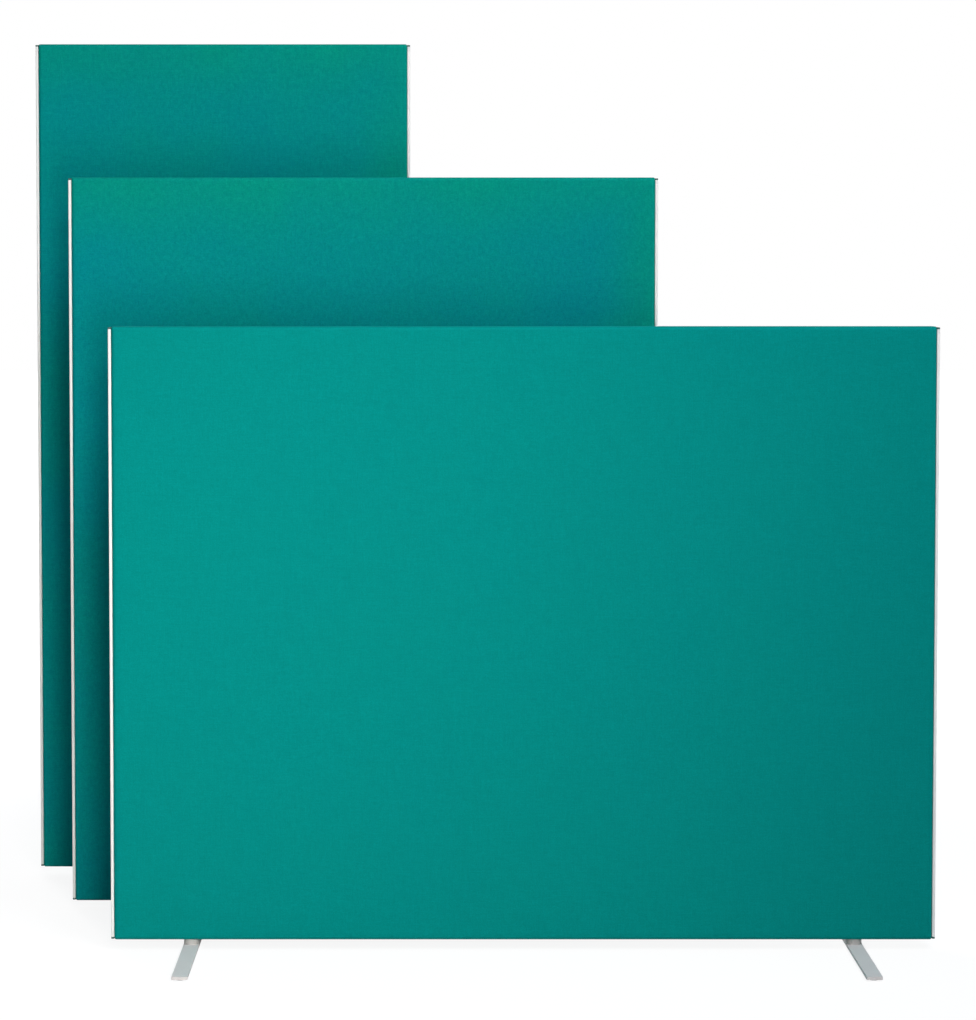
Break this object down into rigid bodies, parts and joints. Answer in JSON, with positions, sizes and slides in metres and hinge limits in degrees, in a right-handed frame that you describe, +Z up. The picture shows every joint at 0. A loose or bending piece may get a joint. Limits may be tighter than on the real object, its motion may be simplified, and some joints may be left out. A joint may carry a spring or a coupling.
{
  "type": "acoustic divider screen set",
  "caption": "Free-standing fabric-covered acoustic divider screens in staggered sizes, with white edge strips and flat swivelling bar feet.",
  "frame": {"origin": "middle of the whole set's footprint, on the floor", "axes": "+Z up; -Y is the side that the front screen faces, and +X is to its right as seen from there"},
  "size_m": [1.845, 1.09, 1.82],
  "materials": {
    "cover_fabric": "matte",
    "felt": "matte",
    "mineral_wool": "matte",
    "frame_timber": "matte",
    "dowel_beech": "matte",
    "edge_white": "satin",
    "cap_dark": "matte",
    "foot_paint": "satin",
    "zinc_steel": "satin",
    "pad_rubber": "matte"
  },
  "bodies": {
    "front_screen": {"front_left_stile": "frame_timber", "front_right_stile": "frame_timber", "front_top_rail": "frame_timber", "front_bottom_rail": "frame_timber", "front_mid_rail": "frame_timber", "front_frame_dowels": "dowel_beech", "front_absorber": "mineral_wool", "front_padding": "felt", "front_front_cover": "cover_fabric", "front_back_cover": "cover_fabric", "front_left_edge": "edge_white", "front_right_edge": "edge_white", "front_edge_caps": "cap_dark", "front_foot_inserts": "zinc_steel", "front_foot_collars": "foot_paint", "front_foot_screws": "zinc_steel"},
    "front_left_foot": {"front_left_foot": "foot_paint", "front_left_foot_pads": "pad_rubber"},
    "front_right_foot": {"front_right_foot": "foot_paint", "front_right_foot_pads": "pad_rubber"},
    "middle_screen": {"middle_left_stile": "frame_timber", "middle_right_stile": "frame_timber", "middle_top_rail": "frame_timber", "middle_bottom_rail": "frame_timber", "middle_mid_rail": "frame_timber", "middle_frame_dowels": "dowel_beech", "middle_absorber": "mineral_wool", "middle_padding": "felt", "middle_front_cover": "cover_fabric", "middle_back_cover": "cover_fabric", "middle_left_edge": "edge_white", "middle_right_edge": "edge_white", "middle_edge_caps": "cap_dark", "middle_foot_inserts": "zinc_steel", "middle_foot_collars": "foot_paint", "middle_foot_screws": "zinc_steel"},
    "middle_left_foot": {"middle_left_foot": "foot_paint", "middle_left_foot_pads": "pad_rubber"},
    "middle_right_foot": {"middle_right_foot": "foot_paint", "middle_right_foot_pads": "pad_rubber"},
    "rear_screen": {"rear_left_stile": "frame_timber", "rear_right_stile": "frame_timber", "rear_top_rail": "frame_timber", "rear_bottom_rail": "frame_timber", "rear_mid_rail": "frame_timber", "rear_frame_dowels": "dowel_beech", "rear_absorber": "mineral_wool", "rear_padding": "felt", "rear_front_cover": "cover_fabric", "rear_back_cover": "cover_fabric", "rear_left_edge": "edge_white", "rear_right_edge": "edge_white", "rear_edge_caps": "cap_dark", "rear_foot_inserts": "zinc_steel", "rear_foot_collars": "foot_paint", "rear_foot_screws": "zinc_steel"},
    "rear_left_foot": {"rear_left_foot": "foot_paint", "rear_left_foot_pads": "pad_rubber"},
    "rear_right_foot": {"rear_right_foot": "foot_paint", "rear_right_foot_pads": "pad_rubber"}
  },
  "joints": [
    {"name": "front_left_foot_swivel", "type": "hinge", "parent": "front_screen", "child": "front_left_foot", "pos_m": [-0.5335, -0.305, 0.006], "axis": [0, 0, -1], "range_deg": [0, 90]},
    {"name": "front_right_foot_swivel", "type": "hinge", "parent": "front_screen", "child": "front_right_foot", "pos_m": [0.7665, -0.305, 0.006], "axis": [0, 0, 1], "range_deg": [0, 90]},
    {"name": "middle_screen_lift", "type": "slide", "parent": "front_screen", "child": "middle_screen", "axis": [0, 0, 1], "range_m": [0, 0.1]},
    {"name": "middle_left_foot_swivel", "type": "hinge", "parent": "middle_screen", "child": "middle_left_foot", "pos_m": [-0.6535, 0.005, 0.006], "axis": [0, 0, -1], "range_deg": [0, 90]},
    {"name": "middle_right_foot_swivel", "type": "hinge", "parent": "middle_screen", "child": "middle_right_foot", "pos_m": [0.2465, 0.005, 0.006], "axis": [0, 0, 1], "range_deg": [0, 90]},
    {"name": "rear_screen_lift", "type": "slide", "parent": "front_screen", "child": "rear_screen", "axis": [0, 0, 1], "range_m": [0, 0.1]},
    {"name": "rear_left_foot_swivel", "type": "hinge", "parent": "rear_screen", "child": "rear_left_foot", "pos_m": [-0.7665, 0.305, 0.006], "axis": [0, 0, -1], "range_deg": [0, 90]},
    {"name": "rear_right_foot_swivel", "type": "hinge", "parent": "rear_screen", "child": "rear_right_foot", "pos_m": [-0.2665, 0.305, 0.006], "axis": [0, 0, 1], "range_deg": [0, 90]}
  ]
}
